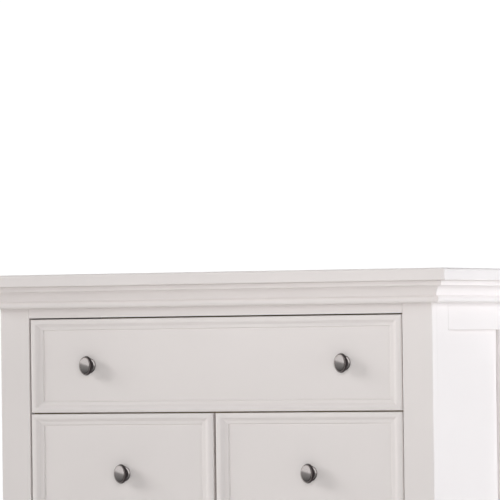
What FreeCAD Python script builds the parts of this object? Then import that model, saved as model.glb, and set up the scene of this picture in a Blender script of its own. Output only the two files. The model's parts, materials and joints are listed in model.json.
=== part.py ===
import FreeCAD, Part
import math
import os

# Tall chest of drawers in painted hardwood: a frame-and-panel case under a moulded top, one wide
# drawer, a pair of half-width drawers and three more wide drawers, all inset and on steel slides.
# Millimetres. +X is to the right of someone facing the drawers, +Y is to the back, +Z is up.
# The origin is on the floor, under the middle of the top slab.

# ---- driving dimensions: case and top ---------------------------------------------------------
HEIGHT = 1345.0
CASE_WIDTH = 940.0
CASE_DEPTH = 430.0
OVERHANG = 46.0
SLAB = 24.0
CROWN = 43.0
POST_WIDTH = 64.0
BOARD = 22.0                # thickness of posts, stiles, rails
SIDE_STILE = 81.0           # seen width of a side stile, front post's thickness included
SIDE_TOP_RAIL = 96.5
SIDE_BOTTOM_RAIL = 110.0
SIDE_RECESS = 8.0           # side panel behind the face of its frame
PANEL = 6.0                 # thickness of side panels, back panel and drawer bottoms
GROOVE = 8.0                # how far a panel enters its frame
LEG_HEIGHT = 40.0           # floor to the lowest rails
ARCH = 12.0                 # rise of the arch cut in the lowest rails
ARCH_END_FRONT = 30.0       # from a post to the end of the front arch
ARCH_END_SIDE = 15.0        # from a stile to the end of a side arch
GLIDE = 3.0
GLIDE_RADIUS = 9.0
GLIDE_INSET = 13.0          # from the front or back of a leg to the middle of its glide
BACK_RAIL = 20.0
BACK_RAIL_HEIGHT = 60.0
BACK_REBATE = 2.0           # back panel inside the back edges of the sides
BOTTOM_BOARD = (78.0, 90.0)
CORNER_BLOCK = 40.0
ANTI_TIP_RADIUS = 2.5
CORNER_ROUND = 2.5          # outer corners of the posts
EDGE_ROUND = 1.5            # every other eased edge

# ---- driving dimensions: drawers --------------------------------------------------------------
TOP_RAIL_DROP = 86.5        # top of the slab to the top of the drawer opening
TOP_PITCH = 189.5
WIDE_PITCH = 242.0
GAP = 2.5                   # around every drawer front
CENTRE_GAP = 5.0            # between the two half-width fronts
FRONT = 20.0                # thickness of a drawer front
PANEL_RECESS = 7.0
SIDE_BORDER = 1.2           # how much wider a front's border is at its upright sides
BOX_BOARD = 14.0            # thickness of the drawer box boards
BOX_CLEAR_BELOW = 14.0      # box above the row line
BOX_CLEAR_ABOVE = 38.0
BOX_LENGTH = 368.0
SLIDE_SPACE = 13.0          # between the drawer box and what the slide is screwed to
SLIDE_LENGTH = 350.0
CHANNEL = 35.0              # height of the case member of a slide
INNER_CHANNEL = 27.0        # height of the drawer member
STEEL = 1.2
CROSS_RAIL = 20.0
CROSS_RAIL_DEPTH = 60.0
DIVIDER = 20.0
PACKER_HEIGHT = 56.0
FRONT_ROUND = 3.0
BOX_GROOVE = 10.0           # lower edge of the box boards to the groove for the bottom

# ---- driving dimensions: knobs ----------------------------------------------------------------
KNOB_WIDTH = 29.0
KNOB_HEIGHT = 39.0
KNOB_REACH = 25.0           # front of the head to the face that it is screwed to
KNOB_NECK = 9.5             # back of the head to the same face
KNOB_SIDE = (12.5, 14.5)    # straight side of the head: where it starts and ends
KNOB_PLATE = 3.0
PLATE_RADIUS = 15.5
PLATE_EDGE = (1.6, 1.4)     # height of the plate's upright edge, width of its sloping edge
STEM_RADIUS = 5.0
SCREW_RADIUS = 2.0
SCREW_BITE = 6.5            # thread inside the stem, past the plate
SCREW_CLEARANCE = 0.3       # around a screw where it passes through the boards
PAN_HEAD = (4.5, 2.6)       # radius and height
WIDE_KNOB_X = 277.0

# ---- levels and planes worked out from them ---------------------------------------------------
SIDE_X = CASE_WIDTH / 2
OPENING_X = SIDE_X - POST_WIDTH
INSIDE_X = SIDE_X - BOARD
TOP_Y = (CASE_DEPTH + OVERHANG) / 2
FACE_Y = OVERHANG - TOP_Y
POST_BACK_Y = FACE_Y + BOARD
FRONT_BACK_Y = FACE_Y + FRONT
BACK_PANEL_Y = TOP_Y - BACK_REBATE - PANEL
BACK_RAIL_Y = BACK_PANEL_Y - BACK_RAIL
UNDER_SLAB = HEIGHT - SLAB
OPENING_TOP = HEIGHT - TOP_RAIL_DROP
ROW_PITCHES = (TOP_PITCH, WIDE_PITCH, WIDE_PITCH, WIDE_PITCH, WIDE_PITCH)
ROW_LINES = tuple(OPENING_TOP - sum(ROW_PITCHES[:row + 1]) for row in range(len(ROW_PITCHES)))

# The moulded border of a drawer front: inset from its edge, and depth behind its face.
BORDER = ((8.0, 0.0), (10.5, 0.7), (15.0, 3.5), (20.5, 4.8), (23.0, PANEL_RECESS))


def vec(x, y, z):
    return FreeCAD.Vector(x, y, z)


def block(x, y, z):
    """A box between three pairs of limits, in either order."""
    low = vec(min(x), min(y), min(z))
    return Part.makeBox(abs(x[1] - x[0]), abs(y[1] - y[0]), abs(z[1] - z[0]), low)


def mirrored(shape):
    return shape.mirror(vec(0, 0, 0), vec(1, 0, 0))


def both_sides(shape):
    return [shape, mirrored(shape)]


def eased(shape, radius, wanted):
    """Rounds the straight edges whose middle and direction satisfy wanted(middle, direction)."""
    edges = []
    for edge in shape.Edges:
        start = edge.Vertexes[0].Point
        end = edge.Vertexes[-1].Point
        if wanted((start + end) * 0.5, (end - start).normalize()):
            edges.append(edge)
    return shape.makeFillet(radius, edges)


def prism(points, along):
    """A closed outline of points, carried along a vector."""
    return Part.Face(Part.makePolygon(points + points[:1])).extrude(along)


def save(node, solids):
    shape = Part.makeCompound(solids)
    shape.exportStep("parts/" + node + ".step")
    box = shape.BoundBox
    limits = (box.XMin, box.XMax, box.YMin, box.YMax, box.ZMin, box.ZMax)
    print("%-24s %2d solids, valid %s," % (node, len(shape.Solids), shape.isValid()),
          "x %.1f..%.1f, y %.1f..%.1f, z %.1f..%.1f" % limits)


# ---- top slab and crown moulding --------------------------------------------------------------
def edge_profile():
    """The slab's moulded edge: (overhang, drop below the top) from the top to the underside."""
    rounded = []
    for step in range(5):
        angle = math.radians(90 * step / 4)
        rounded.append((OVERHANG - 9 + 5 * math.sin(angle), 5 - 5 * math.cos(angle)))
    return rounded + [(OVERHANG, SLAB - 3), (OVERHANG, SLAB - 1), (OVERHANG - 1, SLAB)]


def crown_profile():
    """(distance out from the case, drop below the slab): a fillet, a cove and a small bead."""
    fillet = [(0.0, 0.0), (33.0, 0.0), (33.0, 10.0)]
    cove = []
    for step in range(9):
        angle = math.radians(90 * step / 8)
        cove.append((31.0 - 16.0 * math.sin(angle), 10.0 + 19.0 * (1 - math.cos(angle))))
    bead = [(19.5, 32.0), (22.0, 35.0), (22.5, 38.0), (22.0, 41.0), (20.0, CROWN), (0.0, CROWN)]
    return fillet + cove + bead


def slab_section(overhang, drop):
    """The slab's outline at one depth below its top: flush with the case at the back."""
    x = SIDE_X + overhang
    y = FACE_Y - overhang
    z = HEIGHT - drop
    corners = [vec(-x, y, z), vec(x, y, z), vec(x, TOP_Y, z), vec(-x, TOP_Y, z)]
    return Part.makePolygon(corners + corners[:1])


def top_slab():
    sections = [slab_section(overhang, drop) for overhang, drop in edge_profile()]
    return Part.makeLoft(sections, True, True)


def crown_front():
    """The front length of crown, cut to a mitre at both ends."""
    profile = crown_profile()
    widest = max(out for out, drop in profile)
    x = SIDE_X + widest
    outline = [vec(-x, FACE_Y - out, UNDER_SLAB - drop) for out, drop in profile]
    length = prism(outline, vec(2 * x, 0, 0))
    low = UNDER_SLAB - CROWN
    plan = [vec(-SIDE_X, FACE_Y, low), vec(SIDE_X, FACE_Y, low),
            vec(x, FACE_Y - widest, low), vec(-x, FACE_Y - widest, low)]
    return length.common(prism(plan, vec(0, 0, CROWN)))


def crown_right():
    """The right-hand length of crown, mitred at the front and square at the back."""
    profile = crown_profile()
    widest = max(out for out, drop in profile)
    front = FACE_Y - widest
    outline = [vec(SIDE_X + out, front, UNDER_SLAB - drop) for out, drop in profile]
    length = prism(outline, vec(0, TOP_Y - front, 0))
    low = UNDER_SLAB - CROWN
    plan = [vec(SIDE_X, FACE_Y, low), vec(SIDE_X + widest, front, low),
            vec(SIDE_X + widest, TOP_Y, low), vec(SIDE_X, TOP_Y, low)]
    return length.common(prism(plan, vec(0, 0, CROWN)))


# ---- case -------------------------------------------------------------------------------------
def upright_at(x, y):
    """Picks a box's upright edge that stands at x, y."""
    def wanted(middle, direction):
        return abs(direction.z) > 0.9 and abs(middle.x - x) < 0.1 and abs(middle.y - y) < 0.1
    return wanted


def front_edge_at(z):
    """Picks a rail's lengthwise edge on the front face at a level."""
    def wanted(middle, direction):
        return abs(direction.x) > 0.9 and abs(middle.z - z) < 0.1 and abs(middle.y - FACE_Y) < 0.1
    return wanted


def front_post_right():
    """Full-height post. Its outer corner is rounded more than the corner at the drawers."""
    post = block((OPENING_X, SIDE_X), (FACE_Y, POST_BACK_Y), (GLIDE, UNDER_SLAB))
    post = eased(post, CORNER_ROUND, upright_at(SIDE_X, FACE_Y))
    return eased(post, EDGE_ROUND, upright_at(OPENING_X, FACE_Y))


def front_top_rail():
    rail = block((-OPENING_X, OPENING_X), (FACE_Y, POST_BACK_Y), (OPENING_TOP, UNDER_SLAB))
    return eased(rail, EDGE_ROUND, front_edge_at(OPENING_TOP))


def arch_cutter(half_span, level, axis, start, length):
    """A wide round bar that cuts an arch of height ARCH between two points at the given level."""
    radius = (half_span ** 2 + ARCH ** 2) / (2 * ARCH)
    centre = start + vec(0, 0, level + ARCH - radius)
    return Part.makeCylinder(radius, length, centre, axis)


def base_apron():
    """Lowest front rail, arched, between the feet of the two posts."""
    top = ROW_LINES[-1] - GAP
    rail = block((-OPENING_X, OPENING_X), (FACE_Y, POST_BACK_Y), (LEG_HEIGHT, top))
    start = vec(0, FACE_Y - 5, 0)
    rail = rail.cut(arch_cutter(OPENING_X - ARCH_END_FRONT, LEG_HEIGHT, vec(0, 1, 0), start, BOARD + 10))
    return eased(rail, EDGE_ROUND, front_edge_at(top))


def side_panel_right():
    """Flat panel in the grooves of the side frame."""
    y = (FACE_Y + SIDE_STILE - GROOVE, TOP_Y - SIDE_STILE + GROOVE)
    z = (LEG_HEIGHT + SIDE_BOTTOM_RAIL - GROOVE, UNDER_SLAB - SIDE_TOP_RAIL + GROOVE)
    return block((SIDE_X - SIDE_RECESS - PANEL, SIDE_X - SIDE_RECESS), y, z)


def side_stiles_right():
    """Front stile behind the post, and rear stile. Both go down to the floor as legs."""
    front = block((INSIDE_X, SIDE_X), (POST_BACK_Y, FACE_Y + SIDE_STILE), (GLIDE, UNDER_SLAB))
    rear = block((INSIDE_X, SIDE_X), (TOP_Y - SIDE_STILE, TOP_Y), (GLIDE, UNDER_SLAB))
    front = eased(front, EDGE_ROUND, upright_at(SIDE_X, FACE_Y + SIDE_STILE))
    rear = eased(rear, EDGE_ROUND, upright_at(SIDE_X, TOP_Y - SIDE_STILE))
    return [stile.cut(side_panel_right()) for stile in (front, rear)]


def side_rails_right():
    """Top and bottom rails of the side frame, grooved for the panel. The bottom one is arched."""
    y = (FACE_Y + SIDE_STILE, TOP_Y - SIDE_STILE)
    top = block((INSIDE_X, SIDE_X), y, (UNDER_SLAB - SIDE_TOP_RAIL, UNDER_SLAB))
    low = block((INSIDE_X, SIDE_X), y, (LEG_HEIGHT, LEG_HEIGHT + SIDE_BOTTOM_RAIL))
    half = (y[1] - y[0]) / 2
    start = vec(INSIDE_X - 5, sum(y) / 2, 0)
    low = low.cut(arch_cutter(half - ARCH_END_SIDE, LEG_HEIGHT, vec(1, 0, 0), start, BOARD + 10))
    return [rail.cut(side_panel_right()) for rail in (top, low)]


def anti_tip_hole():
    """Clear hole through the top back rail and the back panel, for a strap to the wall."""
    start = vec(0, BACK_RAIL_Y - 1, UNDER_SLAB - BACK_RAIL_HEIGHT / 2)
    return Part.makeCylinder(ANTI_TIP_RADIUS, TOP_Y - BACK_RAIL_Y + 2, start, vec(0, 1, 0))


def back_rails():
    """Top and bottom rails behind the back panel's edges."""
    x = (-INSIDE_X, INSIDE_X)
    y = (BACK_RAIL_Y, BACK_PANEL_Y)
    rails = []
    for low in (UNDER_SLAB - BACK_RAIL_HEIGHT, BOTTOM_BOARD[0]):
        rails.append(block(x, y, (low, low + BACK_RAIL_HEIGHT)))
    return [rail.cut(anti_tip_hole()) for rail in rails]


def back_panel():
    y = (BACK_PANEL_Y, BACK_PANEL_Y + PANEL)
    panel = block((-INSIDE_X, INSIDE_X), y, (BOTTOM_BOARD[0], UNDER_SLAB))
    return panel.cut(anti_tip_hole())


def cross_rails(y):
    """A rail behind each line where two rows of drawers meet."""
    rails = []
    for line in ROW_LINES[:-1]:
        middle = line - GAP / 2
        rails.append(block((-INSIDE_X, INSIDE_X), y, (middle - CROSS_RAIL / 2, middle + CROSS_RAIL / 2)))
    return rails


def centre_divider():
    """Upright board between the half-width drawers, from one cross rail to the next."""
    low = ROW_LINES[1] - GAP / 2 + CROSS_RAIL / 2
    high = ROW_LINES[0] - GAP / 2 - CROSS_RAIL / 2
    return block((-DIVIDER / 2, DIVIDER / 2), (POST_BACK_Y, BACK_RAIL_Y), (low, high))


def slide_level(row):
    """Height of the middle of a row's slides: the middle of its drawer boxes."""
    line = ROW_LINES[row]
    return line + (BOX_CLEAR_BELOW + ROW_PITCHES[row] - BOX_CLEAR_ABOVE) / 2


def runner_packers():
    """Timbers that bring the slides out to the line of the posts, one each side of every row."""
    packers = []
    for row in range(len(ROW_PITCHES)):
        z = (slide_level(row) - PACKER_HEIGHT / 2, slide_level(row) + PACKER_HEIGHT / 2)
        packers += both_sides(block((OPENING_X, INSIDE_X), (POST_BACK_Y, BACK_RAIL_Y), z))
    return packers


def corner_blocks():
    """Glue blocks under the slab, in the four inside corners of the case."""
    blocks = []
    for y in (POST_BACK_Y, BACK_RAIL_Y - CORNER_BLOCK):
        outline = [vec(INSIDE_X, y, UNDER_SLAB - CORNER_BLOCK), vec(INSIDE_X - CORNER_BLOCK, y, UNDER_SLAB),
                   vec(INSIDE_X, y, UNDER_SLAB)]
        blocks += both_sides(prism(outline, vec(0, CORNER_BLOCK, 0)))
    return blocks


def bottom_board():
    return block((-INSIDE_X, INSIDE_X), (POST_BACK_Y, BACK_RAIL_Y), BOTTOM_BOARD)


def floor_glides():
    """Round nylon glides under the four legs, with a softened lower edge."""
    glides = []
    for y in (FACE_Y + GLIDE_INSET, TOP_Y - GLIDE_INSET):
        glide = Part.makeCylinder(GLIDE_RADIUS, GLIDE, vec(SIDE_X - BOARD / 2, y, 0))
        lower_edge = [edge for edge in glide.Edges if edge.BoundBox.ZMax < 0.1]
        glides += both_sides(glide.makeChamfer(0.8, lower_edge))
    return glides


# ---- drawer slides ----------------------------------------------------------------------------
def channel(web_x, toward, depth, height, level):
    """Folded steel channel: an upright web at web_x with two flanges that stand out from it."""
    y = (POST_BACK_Y + 4, POST_BACK_Y + 4 + SLIDE_LENGTH)
    outer = block((web_x, web_x + toward * depth), y, (level - height / 2, level + height / 2))
    inner = block((web_x + toward * STEEL, web_x + toward * (depth + 1)), (y[0] - 1, y[1] + 1),
                  (level - height / 2 + STEEL, level + height / 2 - STEEL))
    return outer.cut(inner)


def case_slides():
    """Case members of all the slides: on the packers, and on the centre divider in its row."""
    slides = []
    for row in range(len(ROW_PITCHES)):
        slides += both_sides(channel(OPENING_X, -1, SLIDE_SPACE - 2, CHANNEL, slide_level(row)))
        if row == 1:
            slides += both_sides(channel(DIVIDER / 2, 1, SLIDE_SPACE - 2, CHANNEL, slide_level(row)))
    return slides


def drawer_slides(box_x, row):
    """Drawer members: one on each side of a drawer box, inside the case members."""
    depth = SLIDE_SPACE - 3
    level = slide_level(row)
    left = channel(box_x[0], -1, depth, INNER_CHANNEL, level)
    right = channel(box_x[1], 1, depth, INNER_CHANNEL, level)
    return [left, right]


# ---- knobs ------------------------------------------------------------------------------------
def turned(outline, plate_y):
    """Revolves (radius, distance out) pairs about the screw's line; out is towards the user."""
    points = [vec(radius, plate_y - out, 0) for radius, out in outline]
    face = Part.Face(Part.makePolygon(points + points[:1]))
    return face.revolve(vec(0, 0, 0), vec(0, 1, 0), 360)


def knob_head(plate_y):
    """Thick oval head: softened back edge, straight side and a domed face, stretched upright."""
    radius = KNOB_WIDTH / 2
    side_start, side_end = KNOB_SIDE
    back = [(0.0, KNOB_NECK), (radius - 6, KNOB_NECK), (radius - 1.5, KNOB_NECK + 1), (radius, side_start)]
    dome = []
    for step in range(6):
        angle = math.radians(90 * step / 6)
        dome.append((radius * math.cos(angle), side_end + (KNOB_REACH - side_end) * math.sin(angle)))
    head = turned(back + dome + [(0.0, KNOB_REACH)], plate_y)
    stretch = FreeCAD.Matrix()
    stretch.scale(1, 1, KNOB_HEIGHT / KNOB_WIDTH)
    return head.transformGeometry(stretch)


def knob(x, z):
    """Plate, stem, head and screw of one knob. The screw ends where the stem meets the head."""
    plate_y = FACE_Y + PANEL_RECESS
    inside_y = FRONT_BACK_Y + BOX_BOARD
    edge_height, edge_slope = PLATE_EDGE
    plate = turned([(0.0, 0.0), (PLATE_RADIUS, 0.0), (PLATE_RADIUS, edge_height),
                    (PLATE_RADIUS - edge_slope, KNOB_PLATE), (0.0, KNOB_PLATE)], plate_y)
    stem = turned([(0.0, KNOB_PLATE), (STEM_RADIUS, KNOB_PLATE),
                   (STEM_RADIUS, KNOB_NECK), (0.0, KNOB_NECK)], plate_y)
    tip = vec(0, plate_y - KNOB_PLATE - SCREW_BITE, 0)
    shank = Part.makeCylinder(SCREW_RADIUS, inside_y - tip.y, tip, vec(0, 1, 0))
    pan_head = Part.makeCylinder(*PAN_HEAD, vec(0, inside_y, 0), vec(0, 1, 0))
    pieces = [plate.cut(shank), stem.cut(shank), knob_head(plate_y), shank.fuse(pan_head).removeSplitter()]
    for piece in pieces:
        piece.translate(vec(x, 0, z))
    return pieces


def screw_hole(x, z):
    """Clear hole for a knob's screw, through the front and the box front."""
    radius = SCREW_RADIUS + SCREW_CLEARANCE
    return Part.makeCylinder(radius, FRONT + BOX_BOARD + 2, vec(x, FACE_Y - 1, z), vec(0, 1, 0))


# ---- drawers ----------------------------------------------------------------------------------
def inset_outline(x, z, inset, depth):
    """The front's outline, drawn in by inset (more at the sides), at a depth behind its face."""
    y = FACE_Y + depth
    side = inset * SIDE_BORDER
    corners = [vec(x[0] + side, y, z[0] + inset), vec(x[1] - side, y, z[0] + inset),
               vec(x[1] - side, y, z[1] - inset), vec(x[0] + side, y, z[1] - inset)]
    return Part.makePolygon(corners + corners[:1])


def drawer_front(x, z):
    """Inset front: rounded outer edge, and a moulded border that falls to a flat recessed panel."""
    front = block(x, (FACE_Y, FRONT_BACK_Y), z)
    front = eased(front, FRONT_ROUND, lambda middle, direction: middle.y < FACE_Y + 0.1)
    for outer, inner in zip(BORDER, BORDER[1:]):
        recess = Part.makeLoft([inset_outline(x, z, *outer), inset_outline(x, z, *inner)], True, True)
        front = front.cut(recess)
    return front


def drawer(name, row, x, box_x, knob_xs):
    """Writes one drawer: front x limits, box x limits and the places of its knobs."""
    line = ROW_LINES[row]
    pitch = ROW_PITCHES[row]
    z = (line, line + pitch - GAP)
    box_z = (line + BOX_CLEAR_BELOW, line + pitch - BOX_CLEAR_ABOVE)
    front_y = FRONT_BACK_Y
    rear_y = FRONT_BACK_Y + BOX_LENGTH
    inner_x = (box_x[0] + BOX_BOARD, box_x[1] - BOX_BOARD)
    bite = BOX_BOARD / 2
    floor_z = (box_z[0] + BOX_GROOVE, box_z[0] + BOX_GROOVE + PANEL)
    floor = block((inner_x[0] - bite, inner_x[1] + bite), (front_y + bite, rear_y - bite), floor_z)
    knob_z = sum(z) / 2
    holes = [screw_hole(knob_x, knob_z) for knob_x in knob_xs]
    sides = [block((box_x[0], inner_x[0]), (front_y, rear_y), box_z),
             block((inner_x[1], box_x[1]), (front_y, rear_y), box_z)]
    ends = [block(inner_x, (front_y, front_y + BOX_BOARD), box_z),
            block(inner_x, (rear_y - BOX_BOARD, rear_y), box_z)]
    save(name + "_front", [drawer_front(x, z).cut(holes)])
    save(name + "_sides", [side.cut(floor) for side in sides])
    save(name + "_ends", [end.cut([floor] + holes) for end in ends])
    save(name + "_bottom", [floor])
    save(name + "_slides", drawer_slides(box_x, row))
    save(name + "_knobs", [piece for knob_x in knob_xs for piece in knob(knob_x, knob_z)])


def write_case():
    save("top_slab", [top_slab()])
    save("crown_front", [crown_front()])
    save("front_top_rail", [front_top_rail()])
    save("base_apron", [base_apron()])
    right_hand = {"crown": [crown_right()], "front_post": [front_post_right()],
                  "side_stiles": side_stiles_right(), "side_rails": side_rails_right(),
                  "side_panel": [side_panel_right()]}
    for name, solids in right_hand.items():
        save(name + "_right", solids)
        save(name + "_left", [mirrored(solid) for solid in solids])
    save("back_panel", [back_panel()])
    save("back_rails", back_rails())
    save("cross_rails_front", cross_rails((POST_BACK_Y, POST_BACK_Y + CROSS_RAIL_DEPTH)))
    save("cross_rails_back", cross_rails((BACK_RAIL_Y - CROSS_RAIL_DEPTH, BACK_RAIL_Y)))
    save("centre_divider", [centre_divider()])
    save("runner_packers", runner_packers())
    save("corner_blocks", corner_blocks())
    save("bottom_board", [bottom_board()])
    save("floor_glides", floor_glides())
    save("case_slides", case_slides())


def write_drawers():
    front_x = OPENING_X - GAP
    box_x = OPENING_X - SLIDE_SPACE
    inner_x = DIVIDER / 2 + SLIDE_SPACE
    half_front = (CENTRE_GAP / 2, front_x)
    half_knob = sum(half_front) / 2
    wide = ((-front_x, front_x), (-box_x, box_x), (-WIDE_KNOB_X, WIDE_KNOB_X))
    drawer("top_drawer", 0, *wide)
    drawer("left_half_drawer", 1, (-front_x, -CENTRE_GAP / 2), (-box_x, -inner_x), (-half_knob,))
    drawer("right_half_drawer", 1, half_front, (inner_x, box_x), (half_knob,))
    for row, name in ((2, "third_drawer"), (3, "fourth_drawer"), (4, "bottom_drawer")):
        drawer(name, row, *wide)


os.makedirs("parts", exist_ok=True)
write_case()
write_drawers()
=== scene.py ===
# %% [markdown]
# # A tall chest of drawers in satin white paint
# The measured model comes first. It fixes every size and every place, and nothing below moves it.
# This lesson only gives it its looks: softer edges, true mouldings, turned knobs and real finishes.

# %% Load the measured model
import json
import math

import bmesh
import bpy
import numpy as np
from mathutils import Matrix, Vector

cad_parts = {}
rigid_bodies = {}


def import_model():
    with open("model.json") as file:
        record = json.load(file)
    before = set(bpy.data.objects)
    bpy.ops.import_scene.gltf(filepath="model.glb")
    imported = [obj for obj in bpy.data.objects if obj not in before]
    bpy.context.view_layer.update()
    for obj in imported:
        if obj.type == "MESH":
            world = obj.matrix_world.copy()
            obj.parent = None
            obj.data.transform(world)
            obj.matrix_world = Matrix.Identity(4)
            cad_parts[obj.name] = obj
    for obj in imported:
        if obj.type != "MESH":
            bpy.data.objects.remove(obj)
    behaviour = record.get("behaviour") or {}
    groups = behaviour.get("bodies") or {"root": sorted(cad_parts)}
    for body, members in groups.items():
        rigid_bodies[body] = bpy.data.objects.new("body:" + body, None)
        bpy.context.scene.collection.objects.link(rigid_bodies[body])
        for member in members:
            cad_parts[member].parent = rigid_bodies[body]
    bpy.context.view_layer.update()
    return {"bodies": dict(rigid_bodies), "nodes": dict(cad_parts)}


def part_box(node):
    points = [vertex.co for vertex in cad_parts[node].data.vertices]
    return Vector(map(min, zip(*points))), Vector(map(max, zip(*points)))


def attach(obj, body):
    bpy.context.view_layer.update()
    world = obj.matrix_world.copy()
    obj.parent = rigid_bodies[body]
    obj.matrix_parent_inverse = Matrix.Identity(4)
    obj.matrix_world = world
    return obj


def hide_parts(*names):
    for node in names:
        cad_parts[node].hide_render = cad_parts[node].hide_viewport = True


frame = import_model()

MM = 0.001

# %% [markdown]
# ## Places read from the model
# A cabinet maker works from a few faces: the front plane of the posts, the underside of the top and
# the outer faces of the sides. They are read from the model's own boxes, so a changed size carries
# through to every piece made here.

# %% Reference planes and the drawers' names
def limits(node):
    """Lowest and highest corner of a node, in metres, as two arrays."""
    low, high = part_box(node)
    return np.array(low), np.array(high)


post_low, post_high = limits("front_post_right")
slab_low, slab_high = limits("top_slab")
FACE_Y = post_low[1]
BACK_Y = slab_high[1]
SIDE_X = post_high[0]
TOP_Z = slab_high[2]
UNDER_Z = slab_low[2]
DRAWERS = [name for name in frame["bodies"] if name != "case"]
print("front plane %.3f m, side faces +-%.3f m, top %.3f m" % (FACE_Y, SIDE_X, TOP_Z))

# %% [markdown]
# ## The camera
# A short lens close by would be the easy choice, but it splays the uprights of tall furniture. A long
# lens far away keeps them upright. It stands a little to the right of the chest and looks very
# slightly up, so the top is seen edge on.

# %% Camera
AZIMUTH, ELEVATION, ROLL = 24.41, -0.95, -0.72
DISTANCE = 11.12
LENS_MM = 406.5
AIM = Vector((0.083, FACE_Y, TOP_Z + 0.042))


def direction(azimuth, elevation):
    """Unit vector from the aim point towards a place given by its bearing and its height angle."""
    a, e = math.radians(azimuth), math.radians(elevation)
    return Vector((math.sin(a) * math.cos(e), -math.cos(a) * math.cos(e), math.sin(e)))


camera = bpy.data.objects.new("camera", bpy.data.cameras.new("camera"))
bpy.context.scene.collection.objects.link(camera)
bpy.context.scene.camera = camera
camera.data.lens = LENS_MM
camera.data.clip_end = 100.0
camera.location = AIM + direction(AZIMUTH, ELEVATION) * DISTANCE
facing = (AIM - camera.location).to_track_quat("-Z", "Y")
camera.rotation_mode = "QUATERNION"
camera.rotation_quaternion = facing @ Matrix.Rotation(math.radians(ROLL), 3, "Z").to_quaternion()
print("camera %.2f m away, %.0f mm lens" % (DISTANCE, LENS_MM))

# %% [markdown]
# ## Two helpers
# Finishes and surrounds in Blender are networks of nodes. Each could be wired by hand in the editor,
# but one function that adds a node with its settings and links keeps a network short enough to read.
# Colours are written as sRGB codes, as on a paint card, and a second function turns them into the
# linear light that a renderer works in.

# %% Helpers for nodes and colours
def add(tree, kind, settings=None, values=None, links=None):
    """Adds one shader node, sets its properties and input values, and links its inputs."""
    made = tree.nodes.new(kind)
    for key, value in (settings or {}).items():
        setattr(made, key, value)
    for key, value in (values or {}).items():
        made.inputs[key].default_value = value
    for key, source in (links or {}).items():
        tree.links.new(source, made.inputs[key])
    return made


def linear(code):
    """sRGB hex to linear light: each channel c/12.92 below 0.04045, else ((c+0.055)/1.055)^2.4."""
    channels = [int(code[i:i + 2], 16) / 255 for i in (1, 3, 5)]
    return [c / 12.92 if c <= 0.04045 else ((c + 0.055) / 1.055) ** 2.4 for c in channels] + [1.0]


print("sRGB mid grey is %.3f of white in linear light" % linear("#808080")[0])

# %% [markdown]
# ## The surround
# Polished metal shows what stands round it, so the surround shapes the knobs more than any lamp does.
# A picture of a room could be wrapped round the scene, but a few sums on the direction of each ray
# do the same and need no file. Reflections see a bright sky over dim ground, a little lower on the
# right, and dark on the right and behind, as in a studio with a black screen there. The camera sees
# plain white, and surfaces that scatter light get a weak, even fill.

# %% Surround
bpy.context.scene.view_settings.view_transform = "Standard"
AMBIENT = 0.035
SEEN_WHITE = 1.05
SKY, GROUND, NADIR, SCREEN = 0.9, 0.34, 0.1, 0.02
UPWARDS = (0.12, 0.0, 1.0)
OPEN_SIDE = (-0.31, -0.95, 0.0)
NADIR_HEIGHT = -0.9
SKY_FADE = 0.18
SCREEN_EDGE = (-0.05, 0.12)
world = bpy.data.worlds.new("studio_surround")
bpy.context.scene.world = world
world.use_nodes = True
surround = world.node_tree
surround.nodes.clear()
toward = add(surround, "ShaderNodeTexCoord").outputs["Generated"]
height = add(surround, "ShaderNodeVectorMath", {"operation": "DOT_PRODUCT"},
             {1: UPWARDS}, {0: toward}).outputs["Value"]
in_front = add(surround, "ShaderNodeVectorMath", {"operation": "DOT_PRODUCT"},
               {1: OPEN_SIDE}, {0: toward}).outputs["Value"]
ground = add(surround, "ShaderNodeMapRange",
             values={"From Min": NADIR_HEIGHT, "From Max": 0.0, "To Min": NADIR, "To Max": GROUND},
             links={"Value": height}).outputs["Result"]
above = add(surround, "ShaderNodeMapRange", values={"From Min": 0.0, "From Max": SKY_FADE},
            links={"Value": height}).outputs["Result"]
unscreened = add(surround, "ShaderNodeMapRange",
                 values={"From Min": SCREEN_EDGE[0], "From Max": SCREEN_EDGE[1]},
                 links={"Value": in_front}).outputs["Result"]
room = add(surround, "ShaderNodeMix", {"data_type": "FLOAT"},
           {3: SKY}, {0: above, 2: ground}).outputs[0]
shown = add(surround, "ShaderNodeMix", {"data_type": "FLOAT"},
            {2: SCREEN}, {0: unscreened, 3: room}).outputs[0]
rays = add(surround, "ShaderNodeLightPath")
fill = add(surround, "ShaderNodeMix", {"data_type": "FLOAT"}, {2: AMBIENT},
           {0: rays.outputs["Is Glossy Ray"], 3: shown}).outputs[0]
strength = add(surround, "ShaderNodeMix", {"data_type": "FLOAT"}, {3: SEEN_WHITE},
               {0: rays.outputs["Is Camera Ray"], 2: fill}).outputs[0]
glow = add(surround, "ShaderNodeBackground", values={"Color": linear("#FFFFFF")},
           links={"Strength": strength})
add(surround, "ShaderNodeOutputWorld", links={"Surface": glow.outputs[0]})
print("surround: plain white to the camera, %.3f as fill light" % AMBIENT)

# %% [markdown]
# ## Softboxes
# Furniture is lit with big soft sources near its own height. A sun lamp would be simpler, but its
# shadows are hard: it is the size of a lamp that softens the edge of a shadow. One near the camera's
# line lights the fronts evenly, a far one on the left draws the soft shadows down to the right of
# every knob and crest, and two on the right make that side nearly white. Weak ones hang above and
# stand behind. All are left out of reflections, where the surround stands in for them.

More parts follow.
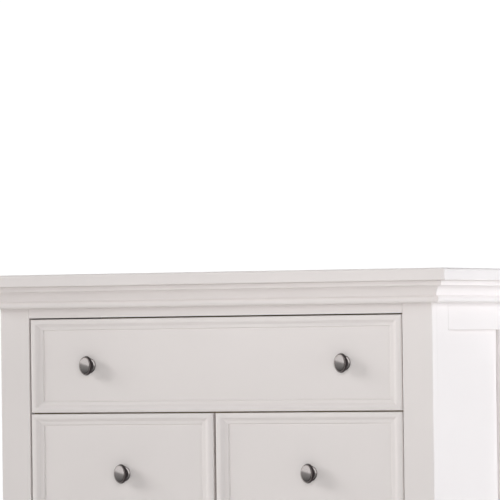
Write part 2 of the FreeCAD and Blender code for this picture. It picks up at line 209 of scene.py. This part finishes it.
# %% Softboxes
def softbox(name, azimuth, elevation, distance, size, watts, tint):
    """A square light at a bearing and height angle from the camera's aim, turned to face it."""
    light = bpy.data.lights.new(name, "AREA")
    light.size = size
    light.energy = watts
    light.color = linear(tint)[:3]
    lamp = bpy.data.objects.new(name, light)
    bpy.context.scene.collection.objects.link(lamp)
    lamp.location = AIM + direction(azimuth, elevation) * distance
    lamp.rotation_mode = "QUATERNION"
    lamp.rotation_quaternion = (AIM - lamp.location).to_track_quat("-Z", "Y")
    lamp.visible_camera = False
    lamp.visible_glossy = False


softbox("left_softbox", -68, 18, 8.0, 3.0, 335, "#FFFFFF")
softbox("front_softbox", 17, 5, 1.9, 1.2, 15.4, "#FFFFFF")
softbox("side_softbox", 110, 4, 3.4, 2.6, 84, "#F6FAFF")
softbox("screen_edge_softbox", 86, 6, 3.4, 2.2, 19, "#F6FAFF")
softbox("back_softbox", 200, 25, 4.0, 2.0, 60, "#FFFFFF")
softbox("top_softbox", 180, 80, 3.2, 2.4, 36, "#FFFFFF")
print("six softboxes")

# %% [markdown]
# ## Surfaces from rings
# Mouldings and knobs could be modelled by hand, or with a curve and a bevel shape. Here every new piece
# is a stack of closed rings of points, worked out as one array, so that a slab, a moulding and a knob
# all use the same function. Neighbouring rings are joined by four-sided faces and the first and last
# rings are closed, so each piece is a watertight skin.

# %% A skin over rings
CREASE = math.radians(30)


def skin(name, rings, body, finish, replaces=(), sharp_columns=False, buffed=None):
    """Joins rings (count, points, xyz), or several such stacks, into a mesh that rides on a body.

    Face (i, j) joins points j and j+1 of ring i to the same points of ring i+1. The first and last
    rings are closed by one face each. Where sharp_columns is true, the edges that run from ring to
    ring stay crisp, as at a mitre. The last argument is a value for each ring, kept as a point
    attribute: how bright a metal's colour is painted there, its dark end a painted dark reflection.
    """
    count, points = rings.shape[-3:-1]
    index = np.arange(rings.size // 3).reshape(-1, count, points)
    ahead = np.roll(index, -1, axis=2)
    quads = np.stack([index[:, :-1], ahead[:, :-1], ahead[:, 1:], index[:, 1:]], axis=-1)
    faces = quads.reshape(-1, 4).tolist() + index[:, 0, ::-1].tolist() + index[:, -1].tolist()
    mesh = bpy.data.meshes.new(name)
    mesh.from_pydata(rings.reshape(-1, 3).tolist(), [], faces)
    work = bmesh.new()
    work.from_mesh(mesh)
    bmesh.ops.recalc_face_normals(work, faces=work.faces)
    volume = work.calc_volume()
    work.to_mesh(mesh)
    work.free()
    mesh.shade_smooth()
    mesh.set_sharp_from_angle(angle=CREASE)
    if sharp_columns:
        ends = np.zeros(len(mesh.edges) * 2, np.int32)
        mesh.edges.foreach_get("vertices", ends)
        ends = ends.reshape(-1, 2)
        crisp = np.zeros(len(mesh.edges), bool)
        mesh.edges.foreach_get("use_edge_sharp", crisp)
        crisp |= ends[:, 0] % points == ends[:, 1] % points
        mesh.edges.foreach_set("use_edge_sharp", crisp)
    if buffed is not None:
        kept = mesh.attributes.new("buffed", "FLOAT", "POINT")
        kept.data.foreach_set("value", np.repeat(buffed, points))
    mesh.materials.append(finish)
    piece = bpy.data.objects.new(name, mesh)
    bpy.context.scene.collection.objects.link(piece)
    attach(piece, body)
    if replaces:
        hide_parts(*replaces)
    print("%-32s %5d faces %8.1f cm3" % (name, len(faces), volume * 1e6))


def arc(centre, radii, start, end, steps):
    """Points on an ellipse, centre + radii * (cos t, sin t), for t from start to end in degrees."""
    t = np.radians(np.linspace(start, end, steps))
    return np.array(centre) + np.array(radii) * np.stack([np.cos(t), np.sin(t)], axis=-1)


print("skins are smooth, with edges over %.0f degrees crisp" % math.degrees(CREASE))

# %% [markdown]
# ## Satin white paint
# The case and the drawer fronts are hardwood under sprayed satin enamel: a pale, slightly warm white
# that scatters nearly all of the light, with a soft sheen. One flat colour would look like plastic.
# Sprayed paint dries with a faint orange-peel skin, and large areas differ by up to three percent, so
# two noises are laid over it. The peel is really finer, and is drawn as coarse as it needs to show.

# %% Satin enamel
CLOUDS_ACROSS = 250 * MM
PEEL_ACROSS = 5 * MM


def enamel(name):
    """White paint: colour and sheen follow wide noise, and the surface is bumped by fine noise."""
    material = bpy.data.materials.new(name)
    material.use_nodes = True
    tree = material.node_tree
    shader = tree.nodes["Principled BSDF"]
    place = add(tree, "ShaderNodeTexCoord").outputs["Object"]
    clouds = add(tree, "ShaderNodeTexNoise", values={"Scale": 1 / CLOUDS_ACROSS, "Detail": 2.0},
                 links={"Vector": place})
    ramp = add(tree, "ShaderNodeValToRGB", links={"Fac": clouds.outputs["Fac"]})
    ramp.color_ramp.elements[0].position = 0.3
    ramp.color_ramp.elements[0].color = linear("#E9E3E1")
    ramp.color_ramp.elements[1].position = 0.7
    ramp.color_ramp.elements[1].color = linear("#ECE6E4")
    tree.links.new(ramp.outputs["Color"], shader.inputs["Base Color"])
    sheen = add(tree, "ShaderNodeMapRange", values={"To Min": 0.34, "To Max": 0.44},
                links={"Value": clouds.outputs["Fac"]})
    tree.links.new(sheen.outputs["Result"], shader.inputs["Roughness"])
    peel = add(tree, "ShaderNodeTexNoise", values={"Scale": 1 / PEEL_ACROSS, "Detail": 2.0},
               links={"Vector": place})
    bump = add(tree, "ShaderNodeBump", values={"Strength": 0.25, "Distance": 0.05 * MM},
               links={"Height": peel.outputs["Fac"]})
    tree.links.new(bump.outputs["Normal"], shader.inputs["Normal"])
    shader.inputs["IOR"].default_value = 1.5
    return material


PAINT = enamel("satin_white_enamel")
print("paint:", PAINT.name)

# %% [markdown]
# ## Nickel with a painted shine, and bright zinc
# The knobs are cast and nickel plated, a warm grey mirror. Their sides are painted dark, a painted
# dark reflection, and their faces are left bright. How bright a place is painted is a value kept on
# the mesh, and it mixes the two colours. Two materials with a line between them would be simpler,
# but the painted shine fades out. Handling leaves marks that blur the reflection more in some places
# than in others, and they shift the painted shine a little. The slides and screws are steel under
# bright zinc, which is duller and bluer.

# %% Plated metals
def plated(name, roughness, mark_mm):
    """Metal: colour is the tint of its reflection; roughness wanders with marks of a real size."""
    material = bpy.data.materials.new(name)
    material.use_nodes = True
    tree = material.node_tree
    shader = tree.nodes["Principled BSDF"]
    place = add(tree, "ShaderNodeTexCoord").outputs["Object"]
    marks = add(tree, "ShaderNodeTexNoise", values={"Scale": 1 / (mark_mm * MM), "Detail": 4.0},
                links={"Vector": place})
    spread = add(tree, "ShaderNodeMapRange",
                 values={"To Min": roughness * 0.7, "To Max": roughness * 1.3},
                 links={"Value": marks.outputs["Fac"]})
    tree.links.new(spread.outputs["Result"], shader.inputs["Roughness"])
    shader.inputs["Metallic"].default_value = 1.0
    return material, tree, shader, marks


def metal_with_painted_shine(name, bright, black, roughness, mark_mm):
    """Metal coloured black to bright as the mesh value goes 0 to 1: black is painted dark reflection.
    """
    material, tree, shader, marks = plated(name, roughness, mark_mm)
    # The value kept on the mesh paints the colour dark on the knobs' sides: a painted dark reflection.
    buffed = add(tree, "ShaderNodeAttribute", {"attribute_name": "buffed"})
    marks_and_painted_shine = add(tree, "ShaderNodeMath", {"operation": "MULTIPLY_ADD"}, {1: 0.3},
               {0: marks.outputs["Fac"], 2: buffed.outputs["Fac"]})
    amount = add(tree, "ShaderNodeMapRange", values={"From Min": 0.15, "From Max": 1.15},
                 links={"Value": marks_and_painted_shine.outputs["Value"]})
    tone = add(tree, "ShaderNodeMix", {"data_type": "RGBA"}, {6: linear(black), 7: linear(bright)},
               {0: amount.outputs["Result"]})
    tree.links.new(tone.outputs[2], shader.inputs["Base Color"])
    return material


# Knobs: the nickel's own tint on their faces, and a painted dark reflection on their sides.
NICKEL = metal_with_painted_shine("antiqued_nickel_plate", "#CFC8C6", "#3C3638", 0.17, 4)
STEEL, _, zinc, _ = plated("bright_zinc_plated_steel", 0.32, 2)
zinc.inputs["Base Color"].default_value = linear("#C4C7CB")
print("metals:", NICKEL.name, "and", STEEL.name)

# %% [markdown]
# ## Bare and lacquered timber
# Inside, the chest isn't painted. The drawer boxes are birch under clear lacquer, the rails and
# packers are planed poplar, and the bottoms and the back are plywood. Pictures of boards could be laid
# on them, but would have to fit every size. Timber grows in rings, so on a sawn face the colour runs
# in long streaks along the board, which noise stretched that way gives at any size.

# %% Timber
GRAIN_STRETCH = 30


def timber(name, pale, dark, along, streak_mm, roughness):
    """Wood: noise streak_mm wide across the grain, and stretched along axis 0, 1 or 2."""
    material = bpy.data.materials.new(name)
    material.use_nodes = True
    tree = material.node_tree
    shader = tree.nodes["Principled BSDF"]
    place = add(tree, "ShaderNodeTexCoord").outputs["Object"]
    scale = [1 / (streak_mm * MM)] * 3
    scale[along] /= GRAIN_STRETCH
    lay = add(tree, "ShaderNodeMapping", values={"Scale": scale}, links={"Vector": place})
    figure = add(tree, "ShaderNodeTexNoise", values={"Scale": 1.0, "Detail": 5.0, "Distortion": 0.6},
                 links={"Vector": lay.outputs["Vector"]})
    ramp = add(tree, "ShaderNodeValToRGB", links={"Fac": figure.outputs["Fac"]})
    ramp.color_ramp.elements[0].position = 0.3
    ramp.color_ramp.elements[0].color = linear(dark)
    ramp.color_ramp.elements[1].position = 0.68
    ramp.color_ramp.elements[1].color = linear(pale)
    tree.links.new(ramp.outputs["Color"], shader.inputs["Base Color"])
    bump = add(tree, "ShaderNodeBump", values={"Strength": 0.3, "Distance": 0.1 * MM},
               links={"Height": figure.outputs["Fac"]})
    tree.links.new(bump.outputs["Normal"], shader.inputs["Normal"])
    shader.inputs["Roughness"].default_value = roughness
    return material


BIRCH_DEEP = timber("lacquered_birch_along_depth", "#DDC49C", "#C9A877", 1, 9, 0.36)
BIRCH_WIDE = timber("lacquered_birch_along_width", "#DDC49C", "#C9A877", 0, 9, 0.36)
PLY = timber("lacquered_birch_plywood", "#DEC8A2", "#CBAE80", 0, 28, 0.42)
BACK_PLY = timber("bare_plywood_back", "#D0B58B", "#B99769", 2, 34, 0.7)
POPLAR_WIDE = timber("planed_poplar_along_width", "#CDBB93", "#B29B6E", 0, 12, 0.65)
POPLAR_DEEP = timber("planed_poplar_along_depth", "#CDBB93", "#B29B6E", 1, 12, 0.65)
print("timber: streaks %d times as long as they are wide" % GRAIN_STRETCH)

# %% [markdown]
# ## Moulded nylon
# The glides under the legs are nylon, a milky plastic whose moulded skin is slightly cloudy. Light
# really goes a little way in, but on pieces this thin, in the shade of the legs, it doesn't show, so a
# cloudy colour does.

# %% Nylon
NYLON_CLOUDS = 6 * MM


def moulded_nylon(name):
    """Milky plastic: its colour follows soft noise."""
    material = bpy.data.materials.new(name)
    material.use_nodes = True
    tree = material.node_tree
    shader = tree.nodes["Principled BSDF"]
    place = add(tree, "ShaderNodeTexCoord").outputs["Object"]
    clouds = add(tree, "ShaderNodeTexNoise", values={"Scale": 1 / NYLON_CLOUDS},
                 links={"Vector": place})
    ramp = add(tree, "ShaderNodeValToRGB", links={"Fac": clouds.outputs["Fac"]})
    ramp.color_ramp.elements[0].color = linear("#CFCABF")
    ramp.color_ramp.elements[1].color = linear("#DCD8CF")
    tree.links.new(ramp.outputs["Color"], shader.inputs["Base Color"])
    shader.inputs["Roughness"].default_value = 0.5
    return material


NYLON = moulded_nylon("moulded_nylon")
print("plastic:", NYLON.name)

# %% [markdown]
# ## Finishes for the pieces that the model already has right
# Boards, rails, slides and glides are flat or folded, and the model has them exactly. Making them
# again would only risk a wrong size, so they just get their finish, picked by the node's name. Wood
# needs it laid along the board: sides from front to back, ends across.

# %% Finishes by piece
WIDE_BOARDS = ("back_rails", "cross_rails_front", "cross_rails_back")
DEEP_BOARDS = ("runner_packers", "corner_blocks", "centre_divider")
for node_name, item in frame["nodes"].items():
    finish = PAINT
    if node_name in WIDE_BOARDS:
        finish = POPLAR_WIDE
    elif node_name in DEEP_BOARDS:
        finish = POPLAR_DEEP
    elif node_name == "back_panel":
        finish = BACK_PLY
    elif node_name == "floor_glides":
        finish = NYLON
    elif node_name.endswith("slides"):
        finish = STEEL
    elif node_name.endswith("sides") and "drawer" in node_name:
        finish = BIRCH_DEEP
    elif node_name.endswith("ends"):
        finish = BIRCH_WIDE
    elif node_name.endswith(("_bottom", "bottom_board")):
        finish = PLY
    item.data.materials.clear()
    item.data.materials.append(finish)
print("finishes laid on", len(frame["nodes"]), "nodes")

# %% [markdown]
# ## The top slab
# The top is one thick board whose front and side edges are shaped: a full round at the top, then a
# face that is nearly upright, and a tiny round below. A plain bevel would round it the same above and
# below. A router cuts the shape right round, so here the edge's profile is carried round the slab,
# with tiny round corners, and closed above and below.

# %% Slab
CORNER = 1.6 * MM
TOP_ROUND = 6 * MM
UNDER_ROUND = 1.2 * MM
LEAN = 1.0 * MM


def rounded_rectangle(x, y, radius, steps=5):
    """A ring round the rectangle x by y (pairs of limits) with quarter circles at its corners.

    Each corner is centre + radius * (cos t, sin t); one more point before and after each arc keeps
    the long faces flat.
    """
    ring = []
    corners = ((x[1], y[0], -90), (x[1], y[1], 0), (x[0], y[1], 90), (x[0], y[0], 180))
    for corner_x, corner_y, start in corners:
        centre = np.array([corner_x - np.sign(corner_x - sum(x) / 2) * radius,
                           corner_y - np.sign(corner_y - sum(y) / 2) * radius])
        turn = arc(centre, (radius, radius), start, start + 90, steps)
        before, after = np.radians(start), np.radians(start + 90)
        lead = turn[0] - radius * np.array([-math.sin(before), math.cos(before)])
        tail = turn[-1] + radius * np.array([-math.sin(after), math.cos(after)])
        ring += [lead[None], turn, tail[None]]
    return np.concatenate(ring)


def slab_rings():
    """One ring per point of the edge profile: (inset from the widest line, height above underside)."""
    thick = TOP_Z - UNDER_Z
    underside = [[6 * MM, 0.0], [UNDER_ROUND, 0.0]]
    under = arc((UNDER_ROUND, UNDER_ROUND), (UNDER_ROUND, UNDER_ROUND), 250, 190, 3)
    face = [[0.0, 3 * MM], [0.1 * MM, 5 * MM], [0.8 * MM, thick - 8 * MM]]
    over = arc((LEAN + TOP_ROUND, thick - TOP_ROUND), (TOP_ROUND, TOP_ROUND), 180, 90, 8)
    top = [[10 * MM, thick], [20 * MM, thick]]
    edge = np.concatenate([underside, under, face, over, top])
    rings = []
    for inset, rise in edge:
        x = (slab_low[0] + inset, slab_high[0] - inset)
        flat = rounded_rectangle(x, (slab_low[1] + inset, BACK_Y), CORNER)
        rings.append(np.column_stack([flat, np.full(len(flat), UNDER_Z + rise)]))
    return np.array(rings)


skin("slab", slab_rings(), "case", PAINT, ["top_slab"])

# %% [markdown]
# ## The crown moulding
# Three lengths of crown run under the slab: a flat fillet, a hollow cove and a small bead. They are
# milled as long sticks and cut at 45 degrees where they meet. A curve with this profile as its bevel
# would have to be cut afterwards. Here each stick is its profile carried along a straight line, and
# at a mitre each point ends as far out as it stands from the case, which is the cut itself.

# %% Crown
def crown_profile():
    """(out from the case, below the slab), in metres: fillet, quarter-ellipse cove, round bead."""
    fillet = [[0.0, 0.0], [32.4, 0.0], [33.0, 0.6], [33.0, 9.2], [32.2, 10.0]]
    cove = arc((31.0, 29.0), (-16.0, -19.0), 90, 0, 15)
    bead = arc((18.3, 36.6), (4.2, 5.6), -68, 78, 11)
    foot = [[17.5, 43.0], [0.0, 43.0]]
    return np.concatenate([fillet, cove, bead, foot]) * MM


def crown_stick(side):
    """Two rings, one at each end of the stick. side is -1 left, 1 right, 0 front."""
    out, drop = crown_profile().T
    z = UNDER_Z - drop
    if side == 0:
        ends = [np.column_stack([sign * (SIDE_X + out), FACE_Y - out, z]) for sign in (-1, 1)]
    else:
        x = side * (SIDE_X + out)
        ends = [np.column_stack([x, y, z]) for y in (FACE_Y - out, np.full(len(x), BACK_Y))]
    return np.array(ends)


for crown_name, side in (("crown_left", -1), ("crown_front", 0), ("crown_right", 1)):
    skin(crown_name + "_stick", crown_stick(side), "case", PAINT, [crown_name])

# %% [markdown]
# ## Drawer fronts
# Each front is a board with a raised border: a wide round that rises from the edge to a crest, a
# slope that falls inwards to a narrow ledge, a rounded step, a crease, and then the flat field that
# the knobs sit on. The upright sides carry the same profile, a fifth wider. A bevel can follow a drawn
# profile, but not one that is wider on two sides, so here the profile is carried round a rectangle.
# Its corners are mitres, and the mitre lines stay crisp.

# %% Fronts
SIDE_BORDER = 1.2


def front_profile(thick):
    """(inset from the edge, depth behind the face), from the back of the board to the flat field."""
    edge = [[0.0, thick], [0.0, 6.5], [0.0, 4.6]]
    round_over = arc((8.0, 3.6), (-8.0, -3.6), 6, 90, 12)
    slope = arc((8.0, 4.0), (4.0, 4.0), -84, -50, 7)
    ledge = [[14.1, 3.8], [14.7, 4.15], [15.6, 4.4], [16.8, 4.6], [20.3, 5.0]]
    step = arc((20.3, 6.2), (1.2, 1.2), -80, -12, 6)
    crease = [[21.8, 6.9], [22.3, 7.4], [23.0, 7.4], [23.8, 7.05], [26.0, 7.0]]
    return np.concatenate([edge, round_over, slope, ledge, step, crease]) * MM


def front_rings(low, high):
    """One mitred rectangle of four points per profile point; upright sides get the wider border."""
    inset, depth = front_profile((high[1] - low[1]) / MM).T
    x0, x1 = low[0] + SIDE_BORDER * inset, high[0] - SIDE_BORDER * inset
    z0, z1 = low[2] + inset, high[2] - inset
    y = low[1] + depth
    turns = ((x0, y, z0), (x1, y, z0), (x1, y, z1), (x0, y, z1))
    return np.stack([np.column_stack(place) for place in turns], axis=1)


for drawer in DRAWERS:
    front_node = drawer + "_front"
    skin(drawer + "_moulded_front", front_rings(*limits(front_node)), drawer, PAINT,
         [front_node], sharp_columns=True)

# %% [markdown]
# ## Knobs
# A knob is a turned shape: a thin round plate on the front, a short waisted stem, and a thick head
# like a pebble, widest near its back and taller than it is wide. A screw modifier would turn a round
# knob. Here a ring of points is carried along the screw's line while its radius changes, so the head's
# rings can be stretched upright and the plate's left round. The screw's pan head is made the same way.

# %% Knob profiles
AROUND = 64
KNOB_REACH = 25 * MM
PLATE_RADIUS = 15.5
HEAD_RADIUS = 14.1
HEAD_HEIGHT = 39
OVAL = HEAD_HEIGHT / (2 * HEAD_RADIUS)


def turned(profile, centre, stretch):
    """Rings round the Y axis through centre: x = r cos t, z = stretch r sin t, at each distance out."""
    t = np.linspace(0, 2 * math.pi, AROUND, endpoint=False)
    radius, out = profile.T[:, :, None] * MM
    return np.stack([centre[0] + radius * np.cos(t), centre[1] - out + 0 * t,
                     centre[2] + stretch[:, None] * radius * np.sin(t)], axis=-1)


def plate_profile():
    """(radius, distance out) of the plate: a thin upright rim, and a face domed towards the stem."""
    rim = [[11.0, 0.0], [PLATE_RADIUS, 0.0], [PLATE_RADIUS, 0.5]]
    dome = arc((7.0, -1.6), (PLATE_RADIUS - 7.0, 4.6), 28, 90, 12)
    return np.concatenate([rim, dome, [[2.0, 3.0]]])


def head_profile():
    """(radius, distance out) of stem and head: waist, tight back edge, slight taper, domed front."""
    stem = [[1.5, 3.0], [7.2, 3.0], [6.2, 3.7], [5.3, 5.0], [5.0, 6.6], [5.4, 8.2], [6.5, 9.2],
            [8.0, 9.5]]
    back = arc((HEAD_RADIUS - 1.8, 11.4), (1.8, 1.8), -84, 10, 8)
    side = [[13.6, 14.0], [13.1, 16.0]]
    front = arc((0.0, 16.4), (13.0, 8.6), 6, 88, 24)
    return np.concatenate([stem, [[10.4, 9.6]], back, side, front])


def screw_profile():
    """(radius, distance out, negative is inwards) of the pan head."""
    dome = arc((2.6, -0.9), (1.9, 1.7), -20, -88, 6)
    return np.concatenate([[[1.9, 0.0], [4.4, 0.0]], dome, [[1.2, -2.6]]])


print("knob: plate %.0f mm across, head %.1f by %d mm" %
      (2 * PLATE_RADIUS, 2 * HEAD_RADIUS, HEAD_HEIGHT))

# %% [markdown]
# ## Knobs in their places
# Each drawer has one knob or two, at half its height, and the model's own knobs say where. They could
# be copies of one mesh, but the finish reads its marks by place, and separate meshes wear differently.
# The metal's colour is painted bright on the plate's face, less at its rim, and on the front of the
# head, and painted dark on the head's sides as a painted dark reflection, so each ring gets its
# amount. The screw sits on the inner face of the drawer box, where the board is drilled.

# %% Knobs and their screws
GROOVE_BITE = 7 * MM
OVAL_FROM, OVAL_OVER = 8.2, 1.8
# Distances out over which the colour goes from painted dark reflection to bright.
PLATE_PAINTED_SHINE = (-0.9, 0.9)
HEAD_PAINTED_SHINE = (17.8, 21.0)


def centres(drawer):
    """Knob centres of one drawer, on its recessed field, read from the ends of the knobs' box."""
    low, high = limits(drawer + "_knobs")
    left, right = low[0] + PLATE_RADIUS * MM, high[0] - PLATE_RADIUS * MM
    across = [left] if right - left < PLATE_RADIUS * MM else [left, right]
    return [np.array([x, low[1] + KNOB_REACH, (low[2] + high[2]) / 2]) for x in across]


def painted_shine_amount(profile, start, end):
    """0 up to a distance out, 1 past another, and a straight ramp between."""
    return np.clip((profile[:, 1] - start) / (end - start), 0, 1).astype(np.float32)


for drawer in DRAWERS:
    box_face = limits(drawer + "_bottom")[0][1] + GROOVE_BITE
    for number, centre in enumerate(centres(drawer), 1):
        label = "%s_knob_%d" % (drawer, number)
        plate, head, screw = plate_profile(), head_profile(), screw_profile()
        oval = 1 + (OVAL - 1) * np.clip((head[:, 1] - OVAL_FROM) / OVAL_OVER, 0, 1)
        inside = np.array([centre[0], box_face, centre[2]])
        knob_node = [drawer + "_knobs"]
        # The plate's rim and the head's sides get their painted dark reflection through this value.
        skin(label + "_plate", turned(plate, centre, np.ones(len(plate))), drawer, NICKEL,
             knob_node, buffed=painted_shine_amount(plate, *PLATE_PAINTED_SHINE))
        skin(label + "_head", turned(head, centre, oval), drawer, NICKEL,
             knob_node, buffed=painted_shine_amount(head, *HEAD_PAINTED_SHINE))
        skin(label + "_screw", turned(screw, inside, np.ones(len(screw))), drawer, STEEL,
             knob_node)

# %% [markdown]
# ## Eased boards
# No board is fitted with knife edges: a plane or a sanding block takes the corner off, a little under
# half a millimetre. A shader could fake that, but then the mesh would still be sharp. Each board here
# is a copy of the measured one. Its loose triangles are merged, flat areas are joined up again, and
# every sharp corner gets a small bevel. Weighted normals keep the broad faces flat, so that only the
# bevels catch the light.

# %% Eased boards
CASE_BOARDS = ["front_post_left", "front_post_right", "front_top_rail", "base_apron",
               "side_stiles_left", "side_stiles_right", "side_rails_left", "side_rails_right",
               "back_rails", "back_panel", "cross_rails_front", "cross_rails_back",
               "centre_divider", "runner_packers", "corner_blocks", "bottom_board"]
EASE = 0.4 * MM
WELD = 0.01 * MM
ONE_PLANE = math.radians(1)
SHARP_CORNER = math.radians(40)


def eased(node, body, width):
    """The node's own faces, merged, with a bevel of this width along every sharp corner."""
    item = frame["nodes"][node]
    work = bmesh.new()
    work.from_mesh(item.data)
    work.transform(item.matrix_world)
    bmesh.ops.remove_doubles(work, verts=work.verts, dist=WELD)
    bmesh.ops.dissolve_limit(work, angle_limit=ONE_PLANE, verts=work.verts, edges=work.edges)
    mesh = bpy.data.meshes.new(node + "_eased")
    work.to_mesh(mesh)
    work.free()
    mesh.shade_smooth()
    mesh.materials.clear()
    mesh.materials.append(item.data.materials[0])
    piece = bpy.data.objects.new(node + "_eased", mesh)
    bpy.context.scene.collection.objects.link(piece)
    bevel = piece.modifiers.new("eased_corners", "BEVEL")
    bevel.width = width
    bevel.segments = 2
    bevel.limit_method = "ANGLE"
    bevel.angle_limit = SHARP_CORNER
    flats = piece.modifiers.new("flat_faces", "WEIGHTED_NORMAL")
    flats.weight = 100
    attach(piece, body)
    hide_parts(node)
    return len(mesh.polygons)


boards = [(node, "case") for node in CASE_BOARDS]
boards += [(drawer + part, drawer) for drawer in DRAWERS for part in ("_sides", "_ends", "_bottom")]
faces = [eased(node, body, EASE) for node, body in boards]
print(len(boards), "boards eased,", sum(faces), "flat faces between them")

# %% [markdown]
# ## Small steel heads
# Round-headed nails hold the back panel to its rails, about a hand's width apart. Dimpled screws hold
# both members of every slide, three to a member, inside the channels. They could be instances on
# points, but one small mesh for each set moves with its own drawer or stays with the case. Each head
# is a turned profile, set at every spot at once and facing the way it was driven from.

# %% Nails and slide screws
NAIL = np.array([[2.2, -0.2], [3.0, 0.0], [3.0, 0.25], [2.6, 0.55], [1.3, 0.7], [0.4, 0.72]])
SCREW = np.array([[3.0, -0.2], [3.6, 0.0], [3.6, 0.3], [3.0, 1.0], [1.9, 1.5], [1.5, 1.45], [1.1, 0.9],
                  [0.3, 0.8]])
UP = np.array([0.0, 0.0, 1.0])
AROUND_HEAD = 24
NAILS_IN_ROW = 11
NAIL_FROM_END, NAIL_FROM_EDGE = 20 * MM, 12 * MM
SCREW_FROM_END = 30 * MM
SLIDE_SPACE = 13 * MM
CHANNEL_STEEL = 1.2 * MM


def heads(profile, spots, out):
    """Rings of a head at each spot: spot + r (cos t across + sin t up) + distance along out."""
    t = np.linspace(0, 2 * math.pi, AROUND_HEAD, endpoint=False)[:, None]
    out = np.broadcast_to(np.array(out, float), spots.shape)[:, None, None, :]
    radius, reach = (profile.T * MM)[:, None, :, None, None]
    spoke = np.cos(t) * np.cross(out, UP) + np.sin(t) * UP
    return spots[:, None, None, :] + radius * spoke + reach * out


def grid(xs, ys, zs):
    """Every combination of the given coordinates, as rows of x, y, z."""
    return np.array([(x, y, z) for x in xs for y in ys for z in zs])


low, high = limits("back_panel")
row = np.linspace(low[0] + NAIL_FROM_END, high[0] - NAIL_FROM_END, NAILS_IN_ROW)
nail_spots = grid(row, [high[1]], [low[2] + NAIL_FROM_EDGE, high[2] - NAIL_FROM_EDGE])
skin("back_panel_nails", heads(NAIL, nail_spots, (0, 1, 0)), "case", STEEL)

for drawer in DRAWERS:
    low, high = limits(drawer + "_slides")
    box_low, box_high = limits(drawer + "_sides")
    along = [low[1] + SCREW_FROM_END, (low[1] + high[1]) / 2, high[1] - SCREW_FROM_END]
    level = (low[2] + high[2]) / 2
    for side, box_x in ((-1, box_low[0]), (1, box_high[0])):
        spots = grid([box_x + side * CHANNEL_STEEL], along, [level])
        case_spots = grid([box_x + side * (SLIDE_SPACE - CHANNEL_STEEL)], along, [level])
        label = "%s_slide_%s_screws" % (drawer, "right" if side > 0 else "left")
        skin(label, heads(SCREW, spots, (side, 0, 0)), drawer, STEEL)
        skin("case_" + label, heads(SCREW, case_spots, (-side, 0, 0)), "case", STEEL)

# %% [markdown]
# ## The floor
# A plain pale floor, wide enough for every view. It isn't part of the chest. The softboxes reach only
# its middle, and more lamps would spoil the shadows, so it glows more and more away from the chest.
# That keeps it pale to the horizon and fills the fronts a little. It is left out of reflections, where
# the surround already gives the knobs their dim ground.

# %% Floor
FLOOR_HALF = 12.0
NEAR_GLOW, FAR_GLOW = 0.02, 0.5
GLOW_FROM, GLOW_FULL = 1.5, 5.0
floor_mesh = bpy.data.meshes.new("studio_floor")
floor_turns = ((-1, -1), (1, -1), (1, 1), (-1, 1))
floor_corners = [(x * FLOOR_HALF, y * FLOOR_HALF, 0.0) for x, y in floor_turns]
floor_mesh.from_pydata(floor_corners, [], [(0, 1, 2, 3)])
floor = bpy.data.objects.new("studio_floor", floor_mesh)
bpy.context.scene.collection.objects.link(floor)
floor_paint = bpy.data.materials.new("pale_studio_floor")
floor_paint.use_nodes = True
floor_tree = floor_paint.node_tree
floor_shader = floor_tree.nodes["Principled BSDF"]
floor_shader.inputs["Base Color"].default_value = linear("#E4E2DF")
floor_shader.inputs["Roughness"].default_value = 0.7
floor_shader.inputs["Emission Color"].default_value = linear("#FFFFFF")
floor_place = add(floor_tree, "ShaderNodeTexCoord").outputs["Object"]
far = add(floor_tree, "ShaderNodeVectorMath", {"operation": "LENGTH"}, links={0: floor_place})
glow_ramp = add(floor_tree, "ShaderNodeMapRange", {"interpolation_type": "SMOOTHSTEP"},
                {"From Min": GLOW_FROM, "From Max": GLOW_FULL,
                 "To Min": NEAR_GLOW, "To Max": FAR_GLOW},
                {"Value": far.outputs["Value"]})
floor_tree.links.new(glow_ramp.outputs["Result"], floor_shader.inputs["Emission Strength"])
floor_mesh.materials.append(floor_paint)
floor.visible_glossy = False
print("floor %.0f m square" % (2 * FLOOR_HALF))
